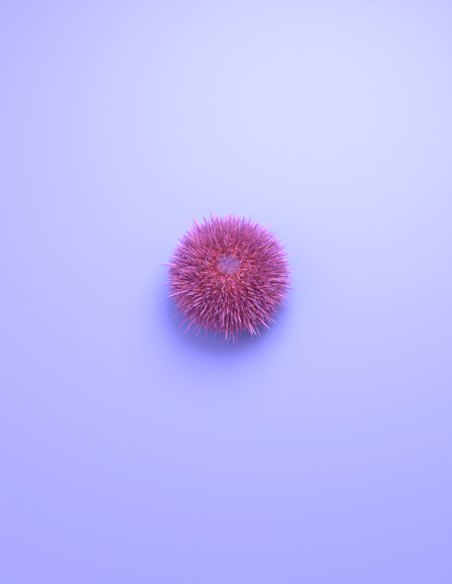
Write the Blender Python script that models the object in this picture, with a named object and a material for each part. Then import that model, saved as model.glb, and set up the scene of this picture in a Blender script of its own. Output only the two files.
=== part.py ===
# A salmacis sea urchin as a still, life-size model: a low domed test between five
# ambulacra and five interambulacra, with its apical plates on top and its mouth below.
# Metres, +Z up, front towards -Y, the floor at z = 0 and the origin under the middle.

import math
import random

import bmesh
import bpy
import numpy
from mathutils import Vector

MM = 0.001

# The test, without its spines
TEST_RADIUS = 38.0 * MM
AMBITUS_HEIGHT = 27.0 * MM
DOME_HEIGHT = 28.0 * MM
BASE_DEPTH = 20.0 * MM
DOME_FULLNESS = 2.2
BASE_FULLNESS = 2.6

# How it is parted
NODE_GAP = 0.3 * MM
ARMS = 5
FIRST_AMBULACRUM = math.radians(-40)
AMBULACRUM_HALF = math.radians(14)
INTERAMBULACRUM_HALF = math.radians(22)

# The apical system on top
APICAL_RADIUS = 10.2 * MM
APICAL_RECESS = 2.3 * MM
PERIPROCT_APOTHEM = 3.1 * MM
OCULAR_INNER = 6.5 * MM
OCULAR_HALF = math.radians(13)
PLATE_RISE = 0.25 * MM
PLATE_BEVEL = 0.45 * MM

# The mouth below
PERISTOME_RADIUS = 10.8 * MM
PERISTOME_TURN = 4.5 * MM
PERISTOME_LIFT = 1.2 * MM
PERISTOME_RECESS = 2.6 * MM
LIP_RADIUS = 3.6 * MM
LIP_DROP = 0.8 * MM
MOUTH_RADIUS = 2.9 * MM
TOOTH_LENGTH = 4.4 * MM
TOOTH_REACH = 2.3 * MM
TOOTH_TIP = 0.55 * MM

# The coat of spines: most are short, and long ones stand among them, more of them low down
COMMON_TOP = 6.4 * MM
COMMON_SIDE = 10.8 * MM
COMMON_BASE = 8.0 * MM
LONG_TOP = 8.5 * MM
LONG_SIDE = 17.2 * MM
LONG_BASE = 10.0 * MM
LONG_SHARE = 0.14
LONG_SHARE_LOW = 0.42
LOW_MIDDLE = math.radians(-24)
LOW_WIDTH = math.radians(22)
LENGTH_FALL = 1.5
LENGTH_SPREAD = 0.12
ROOT_RADIUS = 0.62 * MM
WAIST_RADIUS = 0.43 * MM
WAIST_SHARE = 0.7
ROOT_SINK = 1.3 * MM
SIZE_SPREAD = 0.08
SPINE_SIDES = 3
LEAN_SPREAD = 0.06
BEND_SPREAD = 0.05
ROOT_SHIFT = 0.35 * MM

# Where the spines stand: in rows down each half of a column, staggered by half a row
ROW_SPACING = 3.75 * MM
SPINE_SPACING = 3.8 * MM
FIRST_ROW = 1.3 * MM
LAST_ROW = 2.4 * MM
EDGE_MARGIN = 1.25 * MM
MEDIAN_MARGIN = 1.6 * MM
MEDIAN_BARE = 1.2 * MM
BARE_FROM = 8.0 * MM
SPINE_GAP = 0.25 * MM
SPINE_SAMPLES = 8
SIDE_CLEARANCE = 0.45 * MM
TRIES = 14
SEED = 20

# The lower spines that carry the urchin end in small flats on the floor
STANDING_INNER = 17.0 * MM
STANDING_OUTER = 28.0 * MM
STANDING_HEIGHT = 12.0 * MM
STANDING_SPLAY = math.radians(38)
FOOT_RADIUS = 0.5 * MM
FLOOR_CLEARANCE = 0.9 * MM
LOWER_SPLAY = 0.75

# How finely the surfaces are drawn
MERIDIAN_STEPS = 16
AMBULACRUM_STEPS = 3
INTERAMBULACRUM_STEPS = 4
RING_STEPS = 30
ARC_STEPS = 400


def clear_scene():
    for obj in list(bpy.data.objects):
        bpy.data.objects.remove(obj, do_unlink=True)


def material(name, colour, roughness):
    made = bpy.data.materials.new(name)
    made.use_nodes = True
    shader = made.node_tree.nodes["Principled BSDF"]
    shader.inputs["Base Color"].default_value = (*colour, 1)
    shader.inputs["Roughness"].default_value = roughness
    shader.inputs["Metallic"].default_value = 0
    return made


def mesh_object(name, bm, finish):
    bmesh.ops.recalc_face_normals(bm, faces=bm.faces)
    mesh = bpy.data.meshes.new(name)
    bm.to_mesh(mesh)
    bm.free()
    mesh.materials.append(finish)
    obj = bpy.data.objects.new(name, mesh)
    bpy.context.scene.collection.objects.link(obj)
    return obj


def polar(radius, angle, height):
    return Vector((radius * math.cos(angle), radius * math.sin(angle), height))


# The meridian runs from +90 degrees at the apex through 0 at the ambitus to -90 below
def meridian(latitude):
    upper = latitude >= 0
    fullness = DOME_FULLNESS if upper else BASE_FULLNESS
    reach = math.cos(latitude) ** (2 / fullness)
    climb = math.sin(abs(latitude)) ** (2 / fullness)
    radius = TEST_RADIUS * reach
    if upper:
        return radius, AMBITUS_HEIGHT + DOME_HEIGHT * climb
    turn = max(0.0, 1 - (radius - PERISTOME_RADIUS) / PERISTOME_TURN)
    return radius, AMBITUS_HEIGHT - BASE_DEPTH * climb + PERISTOME_LIFT * turn ** 2


def latitude_at(radius, upper):
    fullness = DOME_FULLNESS if upper else BASE_FULLNESS
    latitude = math.acos((radius / TEST_RADIUS) ** (fullness / 2))
    return latitude if upper else -latitude


def outward(latitude):
    step = 0.002
    r0, z0 = meridian(latitude + step)
    r1, z1 = meridian(latitude - step)
    run = Vector((r1 - r0, z1 - z0)).normalized()
    return Vector((-run.y, run.x))


def spine_length(latitude, long):
    top, side, base = COMMON_TOP, COMMON_SIDE, COMMON_BASE
    if long:
        top, side, base = LONG_TOP, LONG_SIDE, LONG_BASE
    share = abs(latitude) / (math.pi / 2)
    end = top if latitude >= 0 else base
    return side + (end - side) * share ** LENGTH_FALL


def long_share(latitude):
    return LONG_SHARE + LONG_SHARE_LOW * math.exp(-((latitude - LOW_MIDDLE) / LOW_WIDTH) ** 2)


def test_profile():
    top = latitude_at(APICAL_RADIUS, True)
    bottom = latitude_at(PERISTOME_RADIUS, False)
    points = []
    for step in range(MERIDIAN_STEPS + 1):
        points.append(meridian(top + (bottom - top) * step / MERIDIAN_STEPS))
    points.insert(0, (points[0][0], points[0][1] - APICAL_RECESS))
    points.append((points[-1][0], points[-1][1] + PERISTOME_RECESS))
    return points


# Latitudes at equal steps of arc along the meridian, from a first row to the mouth
def rows(first):
    top = latitude_at(APICAL_RADIUS, True)
    bottom = latitude_at(PERISTOME_RADIUS, False)
    latitudes = [top + (bottom - top) * k / ARC_STEPS for k in range(ARC_STEPS + 1)]
    spots = [Vector(meridian(latitude)) for latitude in latitudes]
    steps = [(after - before).length for before, after in zip(spots, spots[1:])]
    last = sum(steps) - LAST_ROW
    found = []
    arc = 0.0
    wanted = first
    for latitude, step in zip(latitudes[1:], steps):
        arc += step
        if wanted <= arc <= last:
            found.append(latitude)
            wanted += ROW_SPACING
    return found


def sector(name, middle, half, steps, profile, finish):
    bm = bmesh.new()
    side_gap = NODE_GAP / 2
    tip = side_gap / math.sin(half)
    rings = []
    for radius, height in profile:
        edge = half - math.asin(side_gap / radius)
        turns = [middle - edge + 2 * edge * k / steps for k in range(steps + 1)]
        rings.append([bm.verts.new(polar(radius, turn, height)) for turn in turns])
    above = bm.verts.new(polar(tip, middle, profile[0][1]))
    below = bm.verts.new(polar(tip, middle, profile[-1][1]))
    for upper, lower in zip(rings, rings[1:]):
        for k in range(steps):
            bm.faces.new((upper[k], lower[k], lower[k + 1], upper[k + 1]))
    bm.faces.new([above, *rings[0]])
    bm.faces.new([below, *reversed(rings[-1])])
    bm.faces.new([above, below, *[ring[0] for ring in reversed(rings)]])
    bm.faces.new([below, above, *[ring[-1] for ring in rings]])
    bmesh.ops.triangulate(bm, faces=[f for f in bm.faces if len(f.verts) > 4])
    return mesh_object(name, bm, finish)


# Where one half of a column has its spines, as latitudes and turns from the middle
def spine_places(half, side):
    places = []
    first = FIRST_ROW if side > 0 else FIRST_ROW + ROW_SPACING / 2
    for latitude in rows(first):
        radius = meridian(latitude)[0]
        upper = max(0.0, math.sin(latitude))
        inner = MEDIAN_MARGIN + MEDIAN_BARE * upper * min(1.0, radius * half / BARE_FROM)
        width = radius * half - EDGE_MARGIN - inner
        if width < 0:
            inner = radius * half / 2 - EDGE_MARGIN / 3
            width = 0.0
        count = int(width / SPINE_SPACING) + 1
        for k in range(count):
            across = inner + width * (k / (count - 1) if count > 1 else 0.5)
            places.append((latitude, side * across / radius))
    return places


class Spine:
    def __init__(self, root, lean, length, bend, scale):
        self.root = root
        self.lean = lean
        self.length = length
        self.bend = bend
        self.scale = scale
        self.foot = None

    def at(self, share):
        return self.root + self.lean * (self.length * share) + self.bend * share ** 2

    def radius(self, share):
        if self.foot:
            return ROOT_RADIUS + (FOOT_RADIUS - ROOT_RADIUS) * share
        if share < WAIST_SHARE:
            drop = (ROOT_RADIUS - WAIST_RADIUS) * share / WAIST_SHARE
            return (ROOT_RADIUS - drop) * self.scale
        return WAIST_RADIUS * self.scale * (1 - share) / (1 - WAIST_SHARE)

    def samples(self):
        shares = [k / (SPINE_SAMPLES - 1) for k in range(SPINE_SAMPLES)]
        spots = numpy.array([self.at(share) for share in shares])
        radii = numpy.array([self.radius(share) for share in shares])
        return spots, radii


def crosses(samples, others):
    spots, radii = samples
    for other_spots, other_radii in others:
        if numpy.linalg.norm(spots[0] - other_spots[0]) > 2 * LONG_SIDE:
            continue
        apart = numpy.linalg.norm(spots[:, None] - other_spots[None], axis=2)
        if (apart < radii[:, None] + other_radii[None] + SPINE_GAP).any():
            return True
    return False


# Moves a point back inside the two planes that bound its column
def keep_inside(point, middle, half, clearance):
    for side in (-1, 1):
        turn = middle + side * half
        inward = Vector((side * math.sin(turn), -side * math.cos(turn), 0))
        short = NODE_GAP / 2 + clearance - inward.dot(point)
        if short > 0:
            point = point + inward * short
    return point


def draw_spine(draw, latitude, turn, middle, half, calm):
    radius, height = meridian(latitude)
    lean = outward(latitude)
    if latitude < 0:
        lean = (lean + Vector((LOWER_SPLAY * math.sin(-latitude) ** 2, 0))).normalized()
    shift = 0 if calm else ROOT_SHIFT
    around = middle + turn + draw.uniform(-shift, shift) / radius
    root = polar(radius, around, height)
    root = keep_inside(root, middle, half, ROOT_RADIUS + NODE_GAP / 2)
    out = Vector((math.cos(around), math.sin(around), 0))
    across = Vector((-math.sin(around), math.cos(around), 0))
    straight = out * lean.x + Vector((0, 0, lean.y))
    along = across.cross(straight)
    spread = 0 if calm else LEAN_SPREAD
    tilt = across * draw.gauss(0, spread) + along * draw.gauss(0, spread)
    length = spine_length(latitude, draw.random() < long_share(latitude))
    length *= 1 + draw.uniform(-LENGTH_SPREAD, LENGTH_SPREAD)
    direction = (straight + tilt).normalized()
    sag = BEND_SPREAD * length
    bend = across * draw.uniform(-sag, sag) + along * draw.uniform(-sag, sag)
    tip = root + direction * length + bend
    if tip.z < FLOOR_CLEARANCE:
        length *= (root.z - FLOOR_CLEARANCE) / (root.z - tip.z)
        bend = Vector((0, 0, 0))
        tip = root + direction * length
    tip = keep_inside(tip, middle, half, SIDE_CLEARANCE)
    reach = tip - bend - root
    scale = draw.uniform(1 - SIZE_SPREAD, 1 + SIZE_SPREAD)
    return Spine(root, reach.normalized(), reach.length, bend, scale)


def stands(spine, latitude):
    reach = math.hypot(spine.root.x, spine.root.y)
    low = latitude < 0 and spine.root.z < STANDING_HEIGHT
    return low and STANDING_INNER < reach < STANDING_OUTER


def stand(spine, middle, half):
    out = Vector((spine.root.x, spine.root.y, 0)).normalized()
    foot = spine.root + out * (spine.root.z * math.tan(STANDING_SPLAY))
    foot.z = 0
    foot = keep_inside(foot, middle, half, FOOT_RADIUS + SIDE_CLEARANCE)
    reach = foot - spine.root
    spine.lean = reach.normalized()
    spine.length = reach.length
    spine.bend = Vector((0, 0, 0))
    spine.foot = foot


def spine_object(spine, roll, collection):
    side = spine.lean.orthogonal().normalized()
    other = spine.lean.cross(side)
    bm = bmesh.new()

    def ring(centre, radius, first, second):
        made = []
        for k in range(SPINE_SIDES):
            turn = roll + 2 * math.pi * k / SPINE_SIDES
            offset = first * math.cos(turn) + second * math.sin(turn)
            made.append(bm.verts.new(centre + offset * radius))
        return made

    def wall(lower, upper):
        for k in range(SPINE_SIDES):
            j = (k + 1) % SPINE_SIDES
            bm.faces.new((lower[k], lower[j], upper[j], upper[k]))

    root = ring(spine.root - spine.lean * ROOT_SINK, ROOT_RADIUS * spine.scale, side, other)
    bm.faces.new(list(reversed(root)))
    waist = ring(spine.at(WAIST_SHARE), spine.radius(WAIST_SHARE), side, other)
    wall(root, waist)
    if spine.foot:
        level = (side - spine.lean * (side.z / spine.lean.z)).normalized()
        beside = (other - spine.lean * (other.z / spine.lean.z)).normalized()
        foot = ring(spine.foot, FOOT_RADIUS, level, beside)
        wall(waist, foot)
        bm.faces.new(foot)
    else:
        tip = bm.verts.new(spine.at(1))
        for k in range(SPINE_SIDES):
            bm.faces.new((waist[k], waist[(k + 1) % SPINE_SIDES], tip))
    bmesh.ops.triangulate(bm, faces=bm.faces)
    bmesh.ops.recalc_face_normals(bm, faces=bm.faces)
    mesh = bpy.data.meshes.new("spine")
    bm.to_mesh(mesh)
    bm.free()
    obj = bpy.data.objects.new("spine", mesh)
    collection.objects.link(obj)


def keep_largest(obj):
    bm = bmesh.new()
    bm.from_mesh(obj.data)
    left = set(bm.faces)
    pieces = []
    while left:
        start = left.pop()
        piece = [start]
        for face in piece:
            for edge in face.edges:
                for near in edge.link_faces:
                    if near in left:
                        left.remove(near)
                        piece.append(near)
        pieces.append(piece)
    pieces.sort(key=len)
    for piece in pieces[:-1]:
        bmesh.ops.delete(bm, geom=piece, context="FACES")
    loose = [vert for vert in bm.verts if not vert.link_faces]
    bmesh.ops.delete(bm, geom=loose, context="VERTS")
    bm.to_mesh(obj.data)
    bm.free()


# Fuses all the spines of a column with it in one union
def add_spines(column, number, middle, half):
    draw = random.Random(SEED + number)
    collection = bpy.data.collections.new("spines")
    bpy.context.scene.collection.children.link(collection)
    taken = []
    for latitude, turn in [*spine_places(half, 1), *spine_places(half, -1)]:
        for attempt in range(TRIES):
            spine = draw_spine(draw, latitude, turn, middle, half, attempt == TRIES - 1)
            if stands(spine, latitude):
                stand(spine, middle, half)
            samples = spine.samples()
            if not crosses(samples, taken):
                taken.append(samples)
                spine_object(spine, draw.uniform(0, math.tau), collection)
                break
    union = column.modifiers.new("spines", "BOOLEAN")
    union.operation = "UNION"
    union.operand_type = "COLLECTION"
    union.collection = collection
    union.solver = "EXACT"
    bpy.context.view_layer.objects.active = column
    bpy.ops.object.modifier_apply(modifier=union.name)
    for obj in list(collection.objects):
        bpy.data.objects.remove(obj, do_unlink=True)
    bpy.data.collections.remove(collection)
    keep_largest(column)


def inset_outline(points, distance):
    moved = []
    count = len(points)
    for i, point in enumerate(points):
        before = (point - points[i - 1]).normalized()
        after = (points[(i + 1) % count] - point).normalized()
        inward_before = Vector((-before.y, before.x))
        inward_after = Vector((-after.y, after.x))
        bisector = (inward_before + inward_after).normalized()
        moved.append(point + bisector * (distance / bisector.dot(inward_before)))
    return moved


# A plate with straight sides, its top following the dome and bevelled all round
def plate(name, outline, finish):
    outer = inset_outline(outline, NODE_GAP / 2)
    crown = inset_outline(outer, PLATE_BEVEL)
    top = latitude_at(APICAL_RADIUS, True)
    floor = meridian(top)[1] - APICAL_RECESS + NODE_GAP
    bm = bmesh.new()

    def ring(points, rise):
        made = []
        for point in points:
            height = meridian(latitude_at(point.length, True))[1] + rise
            made.append(bm.verts.new((point.x, point.y, height)))
        return made

    bottom = [bm.verts.new((point.x, point.y, floor)) for point in outer]
    shoulder = ring(outer, 0)
    crest = ring(crown, PLATE_RISE)
    count = len(outer)
    for lower, upper in ((bottom, shoulder), (shoulder, crest)):
        for i in range(count):
            j = (i + 1) % count
            bm.faces.new((lower[i], lower[j], upper[j], upper[i]))
    bm.faces.new(crest)
    bm.faces.new(list(reversed(bottom)))
    bmesh.ops.triangulate(bm, faces=bm.faces)
    return mesh_object(name, bm, finish)


def flat(radius, angle):
    return Vector((radius * math.cos(angle), radius * math.sin(angle)))


def periproct(finish):
    corner = PERIPROCT_APOTHEM / math.cos(math.pi / ARMS)
    turn = 2 * math.pi / ARMS
    outline = [flat(corner, FIRST_AMBULACRUM + arm * turn) for arm in range(ARMS)]
    return plate("periproct", outline, finish)


def genital_plate(name, middle, finish):
    corner = PERIPROCT_APOTHEM / math.cos(math.pi / ARMS)
    side = math.pi / ARMS
    edge = APICAL_RADIUS - NODE_GAP / 2
    outline = [
        flat(corner, middle - side),
        flat(OCULAR_INNER, middle - side),
        flat(edge, middle - side + OCULAR_HALF),
        flat(edge, middle),
        flat(edge, middle + side - OCULAR_HALF),
        flat(OCULAR_INNER, middle + side),
        flat(corner, middle + side),
    ]
    return plate(name, outline, finish)


def ocular_plate(name, middle, finish):
    edge = APICAL_RADIUS - NODE_GAP / 2
    outline = [
        flat(OCULAR_INNER, middle),
        flat(edge, middle - OCULAR_HALF),
        flat(edge, middle + OCULAR_HALF),
    ]
    return plate(name, outline, finish)


def peristome(finish):
    rim_r, rim_z = meridian(latitude_at(PERISTOME_RADIUS, False))
    roof = rim_z + PERISTOME_RECESS - NODE_GAP
    lip = rim_z - LIP_DROP
    edge = rim_r - NODE_GAP
    profile = [
        (edge, roof),
        (edge, rim_z + 0.2 * MM),
        ((edge + LIP_RADIUS) / 2, (rim_z + lip) / 2 + 0.3 * MM),
        (LIP_RADIUS, lip),
        (MOUTH_RADIUS, lip + 0.5 * MM),
        (MOUTH_RADIUS, roof - 0.9 * MM),
    ]
    bm = bmesh.new()
    turns = [2 * math.pi * k / RING_STEPS for k in range(RING_STEPS)]
    rings = [[bm.verts.new(polar(r, t, z)) for t in turns] for r, z in profile]
    for upper, lower in zip(rings, rings[1:]):
        for k in range(RING_STEPS):
            j = (k + 1) % RING_STEPS
            bm.faces.new((upper[k], lower[k], lower[j], upper[j]))
    bm.faces.new(rings[0])
    bm.faces.new(list(reversed(rings[-1])))
    bmesh.ops.triangulate(bm, faces=bm.faces)
    return mesh_object("peristome", bm, finish)


def tooth(name, middle, finish):
    rim_z = meridian(latitude_at(PERISTOME_RADIUS, False))[1]
    roof = rim_z + PERISTOME_RECESS - NODE_GAP - 0.9 * MM - NODE_GAP
    half = math.pi / ARMS
    side_gap = NODE_GAP / 2
    bm = bmesh.new()
    rings = []
    for radius, height in ((TOOTH_REACH, roof), (TOOTH_REACH * 0.9, roof - TOOTH_LENGTH * 0.5)):
        edge = half - math.asin(side_gap / radius)
        ridge = side_gap / math.sin(half)
        corners = [polar(radius, middle + turn, height) for turn in (-edge, 0, edge)]
        corners.append(polar(ridge, middle, height))
        rings.append([bm.verts.new(corner) for corner in corners])
    point = bm.verts.new(polar(TOOTH_TIP, middle, roof - TOOTH_LENGTH))
    for k in range(4):
        j = (k + 1) % 4
        bm.faces.new((rings[0][k], rings[1][k], rings[1][j], rings[0][j]))
        bm.faces.new((rings[1][k], point, rings[1][j]))
    bm.faces.new(rings[0])
    bmesh.ops.triangulate(bm, faces=bm.faces)
    return mesh_object(name, bm, finish)


def build():
    clear_scene()
    spiny = material("spiny test", (0.36, 0.07, 0.19), 0.6)
    plates = material("apical plates", (0.47, 0.21, 0.42), 0.5)
    skin = material("mouth membrane", (0.42, 0.24, 0.24), 0.6)
    enamel = material("teeth", (0.85, 0.82, 0.76), 0.3)
    profile = test_profile()
    turn = 2 * math.pi / ARMS
    for arm in range(ARMS):
        number = arm + 1
        ray = FIRST_AMBULACRUM + arm * turn
        between = ray + turn / 2
        column = sector(
            f"ambulacrum_{number}", ray, AMBULACRUM_HALF, AMBULACRUM_STEPS, profile, spiny
        )
        add_spines(column, number, ray, AMBULACRUM_HALF)
        column = sector(
            f"interambulacrum_{number}",
            between,
            INTERAMBULACRUM_HALF,
            INTERAMBULACRUM_STEPS,
            profile,
            spiny,
        )
        add_spines(column, ARMS + number, between, INTERAMBULACRUM_HALF)
        genital = "madreporite" if number == 2 else f"genital_plate_{number}"
        genital_plate(genital, between, plates)
        ocular_plate(f"ocular_plate_{number}", ray, plates)
        tooth(f"tooth_{number}", between, enamel)
    periproct(plates)
    peristome(skin)


build()
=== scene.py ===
# Salmacis sea urchin, a still life-size model: its looks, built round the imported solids
import math
from types import SimpleNamespace

import bpy
import numpy as np
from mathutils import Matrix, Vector


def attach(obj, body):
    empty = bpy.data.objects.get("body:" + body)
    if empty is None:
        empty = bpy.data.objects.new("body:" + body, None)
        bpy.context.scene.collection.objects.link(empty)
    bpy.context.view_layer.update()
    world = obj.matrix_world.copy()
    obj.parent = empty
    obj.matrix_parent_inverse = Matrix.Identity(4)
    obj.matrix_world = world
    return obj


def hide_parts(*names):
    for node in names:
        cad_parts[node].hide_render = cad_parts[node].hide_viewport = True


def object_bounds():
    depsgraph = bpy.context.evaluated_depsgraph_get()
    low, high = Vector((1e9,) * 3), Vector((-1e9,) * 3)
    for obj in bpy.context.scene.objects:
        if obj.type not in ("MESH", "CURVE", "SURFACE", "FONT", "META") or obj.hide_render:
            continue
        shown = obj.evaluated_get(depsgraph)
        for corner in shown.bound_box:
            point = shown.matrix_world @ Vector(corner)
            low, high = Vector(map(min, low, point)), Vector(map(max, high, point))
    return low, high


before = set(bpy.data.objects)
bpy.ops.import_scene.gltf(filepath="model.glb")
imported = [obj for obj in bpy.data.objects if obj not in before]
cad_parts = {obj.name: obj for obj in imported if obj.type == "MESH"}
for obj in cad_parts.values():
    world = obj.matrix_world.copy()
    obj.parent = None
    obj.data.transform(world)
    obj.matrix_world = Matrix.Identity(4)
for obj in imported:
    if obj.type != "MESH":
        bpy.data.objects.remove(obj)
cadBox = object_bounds()
bpy.ops.object.select_all(action="DESELECT")
bpy.context.scene.view_settings.view_transform = "Standard"
mm = 0.001
print("frame loaded")


# Shared helpers

def paint(red, green, blue):  # a colour as seen on screen, 0 to 255, as the shader wants it
    values = []
    for value in (red, green, blue):
        share = value / 255
        values.append(share / 12.92 if share <= 0.04045 else ((share + 0.055) / 1.055) ** 2.4)
    return (*values, 1)


def finishPiece(piece, material, slot, *nodes):
    piece.data.materials.clear()
    piece.data.materials.append(material)
    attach(piece, "root")
    if nodes:
        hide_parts(*nodes)


def unit(vectors):
    return vectors / np.linalg.norm(vectors, axis=-1, keepdims=True)


def spotAt(radius, turn, height):
    return radius * math.cos(turn), radius * math.sin(turn), height


def flatSpots(*places):  # points seen from above, from pairs of a radius and a turn
    return np.array([spotAt(radius, turn, 0)[:2] for radius, turn in places])


def readSpots(mesh):
    spots = np.empty(len(mesh.vertices) * 3)
    mesh.vertices.foreach_get("co", spots)
    return spots.reshape(-1, 3)


def shadeSmooth(mesh):
    mesh.polygons.foreach_set("use_smooth", [True] * len(mesh.polygons))


def writeSpots(mesh, spots):
    mesh.vertices.foreach_set("co", np.ascontiguousarray(spots).ravel())
    shadeSmooth(mesh)
    mesh.update()


def addNumbers(mesh, name, values, domain="POINT"):
    attribute = mesh.attributes.new(name, "FLOAT", domain)
    attribute.data.foreach_set("value", np.asarray(values, np.float32).ravel())


def selectOnly(*pieces):
    bpy.ops.object.select_all(action="DESELECT")
    for piece in pieces:
        piece.select_set(True)
    bpy.context.view_layer.objects.active = pieces[0]


def placeAtOrigin(piece):
    selectOnly(piece)
    bpy.ops.object.transform_apply(location=True, rotation=True, scale=True)
    bpy.ops.object.select_all(action="DESELECT")


def joinRounds(pieces, name):  # small rounded pieces made one, with no painted hollow shade on them
    selectOnly(*pieces)
    bpy.ops.object.join()
    joined = bpy.context.object
    joined.name = name
    placeAtOrigin(joined)
    shadeSmooth(joined.data)
    addNumbers(joined.data, "shadedHollow", np.zeros(len(joined.data.vertices)))
    return joined


def raiseRings(steps):  # a flat form carried through steps of a lift, a factor and its centre, and closed
    bpy.ops.object.mode_set(mode="EDIT")
    bpy.ops.mesh.select_all(action="SELECT")
    for lift, factor, centre in steps:
        bpy.ops.mesh.extrude_region_move(TRANSFORM_OT_translate={"value": (0, 0, lift)})
        bpy.ops.transform.resize(value=(factor, factor, 1), center_override=centre)
    bpy.ops.mesh.poke()
    bpy.ops.mesh.select_all(action="SELECT")
    bpy.ops.mesh.normals_make_consistent(inside=False)
    bpy.ops.object.mode_set(mode="OBJECT")


# The shape of the test: the same driving sizes as the solids

testShape = {
    "radius": 38.0 * mm,
    "ambitus": 27.0 * mm,  # height of the widest ring above the floor
    "dome": 28.0 * mm, "base": 20.0 * mm, "domeFullness": 2.2, "baseFullness": 2.6,
    "apicalRadius": 10.2 * mm, "mouthRadius": 10.8 * mm, "mouthTurn": 4.5 * mm,
    "mouthLift": 1.2 * mm,
    "arms": 5, "firstArm": math.radians(-40),
    "ambulacrumHalf": math.radians(14), "interambulacrumHalf": math.radians(22),
    "arcSteps": 600,
}

armTurn = math.tau / testShape["arms"]
rays = [testShape["firstArm"] + arm * armTurn for arm in range(testShape["arms"])]


def meridian(latitude):  # radius and height, from +90 degrees at the apex to -90 below
    shape = testShape
    latitude = np.asarray(latitude, float)
    upper = latitude >= 0
    fullness = np.where(upper, shape["domeFullness"], shape["baseFullness"])
    reach = np.clip(np.cos(latitude), 0, 1) ** (2 / fullness)
    climb = np.clip(np.sin(np.abs(latitude)), 0, 1) ** (2 / fullness)
    radius = shape["radius"] * reach
    turn = np.clip(1 - (radius - shape["mouthRadius"]) / shape["mouthTurn"], 0, 1)
    lower = shape["ambitus"] - shape["base"] * climb + shape["mouthLift"] * turn ** 2
    return radius, np.where(upper, shape["ambitus"] + shape["dome"] * climb, lower)


def latitudeAt(radius, upper):
    fullness = np.where(upper, testShape["domeFullness"], testShape["baseFullness"])
    latitude = np.arccos(np.clip(radius / testShape["radius"], 0, 1) ** (fullness / 2))
    return np.where(upper, latitude, -latitude)


def domeHeight(radius):
    return meridian(latitudeAt(radius, True))[1]


def normalAt(latitude):  # outwards, as radial and upward parts
    step = 0.002
    upperRadius, upperHeight = meridian(latitude + step)
    lowerRadius, lowerHeight = meridian(latitude - step)
    run = unit(np.stack([upperRadius - lowerRadius, upperHeight - lowerHeight], axis=-1))
    return np.stack([run[..., 1], -run[..., 0]], axis=-1)


arcTop = float(latitudeAt(testShape["apicalRadius"], True))
arcBottom = float(latitudeAt(testShape["mouthRadius"], False))
arcLatitudes = np.linspace(arcTop, arcBottom, testShape["arcSteps"])
arcSpots = np.stack(meridian(arcLatitudes), axis=-1)
arcLengths = np.concatenate([[0], np.cumsum(np.linalg.norm(np.diff(arcSpots, axis=0), axis=1))])
arcTotal = arcLengths[-1]
mouthRim = float(meridian(arcBottom)[1])


def latitudeOfArc(arc):  # arc is the way down the test from the apical plates
    return np.interp(arc, arcLengths, arcLatitudes)


def arcOfLatitude(latitude):
    return np.interp(-latitude, -arcLatitudes, arcLengths)


# Materials

def makeMottleGroup():  # an uneven, living surface: a mask of patches, one of grains and a normal
    group = bpy.data.node_groups.new("mottle", "ShaderNodeTree")
    for name in ("Patch Scale", "Grain Scale", "Bump", "Depth"):
        group.interface.new_socket(name, in_out="INPUT", socket_type="NodeSocketFloat")
    for name, kind in (("Patches", "Float"), ("Grains", "Float"), ("Normal", "Vector")):
        group.interface.new_socket(name, in_out="OUTPUT", socket_type="NodeSocket" + kind)
    nodes = group.nodes
    given = nodes.new("NodeGroupInput").outputs
    result = nodes.new("NodeGroupOutput").inputs
    place = nodes.new("ShaderNodeTexCoord").outputs["Object"]
    patches = nodes.new("ShaderNodeTexNoise")
    patches.inputs["Detail"].default_value = 4
    grains = nodes.new("ShaderNodeTexVoronoi")
    bump = nodes.new("ShaderNodeBump")
    bump.invert = True
    for source, socket in (
        (place, patches.inputs["Vector"]),
        (place, grains.inputs["Vector"]),
        (given["Patch Scale"], patches.inputs["Scale"]),
        (given["Grain Scale"], grains.inputs["Scale"]),
        (given["Bump"], bump.inputs["Strength"]),
        (given["Depth"], bump.inputs["Distance"]),
        (grains.outputs["Distance"], bump.inputs["Height"]),
        (patches.outputs["Fac"], result["Patches"]),
        (grains.outputs["Distance"], result["Grains"]),
        (bump.outputs["Normal"], result["Normal"]),
    ):
        group.links.new(source, socket)
    return group


mottleGroup = makeMottleGroup()


def newMaterial(name, roughness):
    material = bpy.data.materials.new(name)
    material.use_nodes = True
    tree = material.node_tree
    sockets = tree.nodes["Principled BSDF"].inputs
    sockets["Roughness"].default_value = roughness
    return material, tree, sockets


def addMottle(tree, values):
    node = tree.nodes.new("ShaderNodeGroup")
    node.node_tree = mottleGroup
    for socket, value in zip(node.inputs, values):
        socket.default_value = value
    return node.outputs


def addRamp(tree, place, stops):
    ramp = tree.nodes.new("ShaderNodeValToRGB")
    elements = ramp.color_ramp.elements
    while len(elements) < len(stops):
        elements.new(0.5)
    for element, (position, colour) in zip(elements, stops):
        element.position = position
        element.color = paint(*colour)
    tree.links.new(place, ramp.inputs["Fac"])
    return ramp.outputs["Color"]


def setOrLink(tree, socket, value):
    if isinstance(value, (int, float, tuple)):
        socket.default_value = value
    else:
        tree.links.new(value, socket)


def addMath(tree, operation, *values):
    node = tree.nodes.new("ShaderNodeMath")
    node.operation = operation
    for socket, value in zip(node.inputs, values):
        setOrLink(tree, socket, value)
    return node.outputs[0]


def addMix(tree, blend, factor, first, second):  # of two colours, by the node's colour sockets
    node = tree.nodes.new("ShaderNodeMix")
    node.data_type = "RGBA"
    node.blend_type = blend
    for index, value in ((0, factor), (6, first), (7, second)):
        setOrLink(tree, node.inputs[index], value)
    return node.outputs[2]


def readAttribute(tree, name):
    node = tree.nodes.new("ShaderNodeAttribute")
    node.attribute_name = name
    return node.outputs["Fac"]


# In each look, mottle gives the scales of the patches and the grains, and the bump's strength and depth

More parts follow.
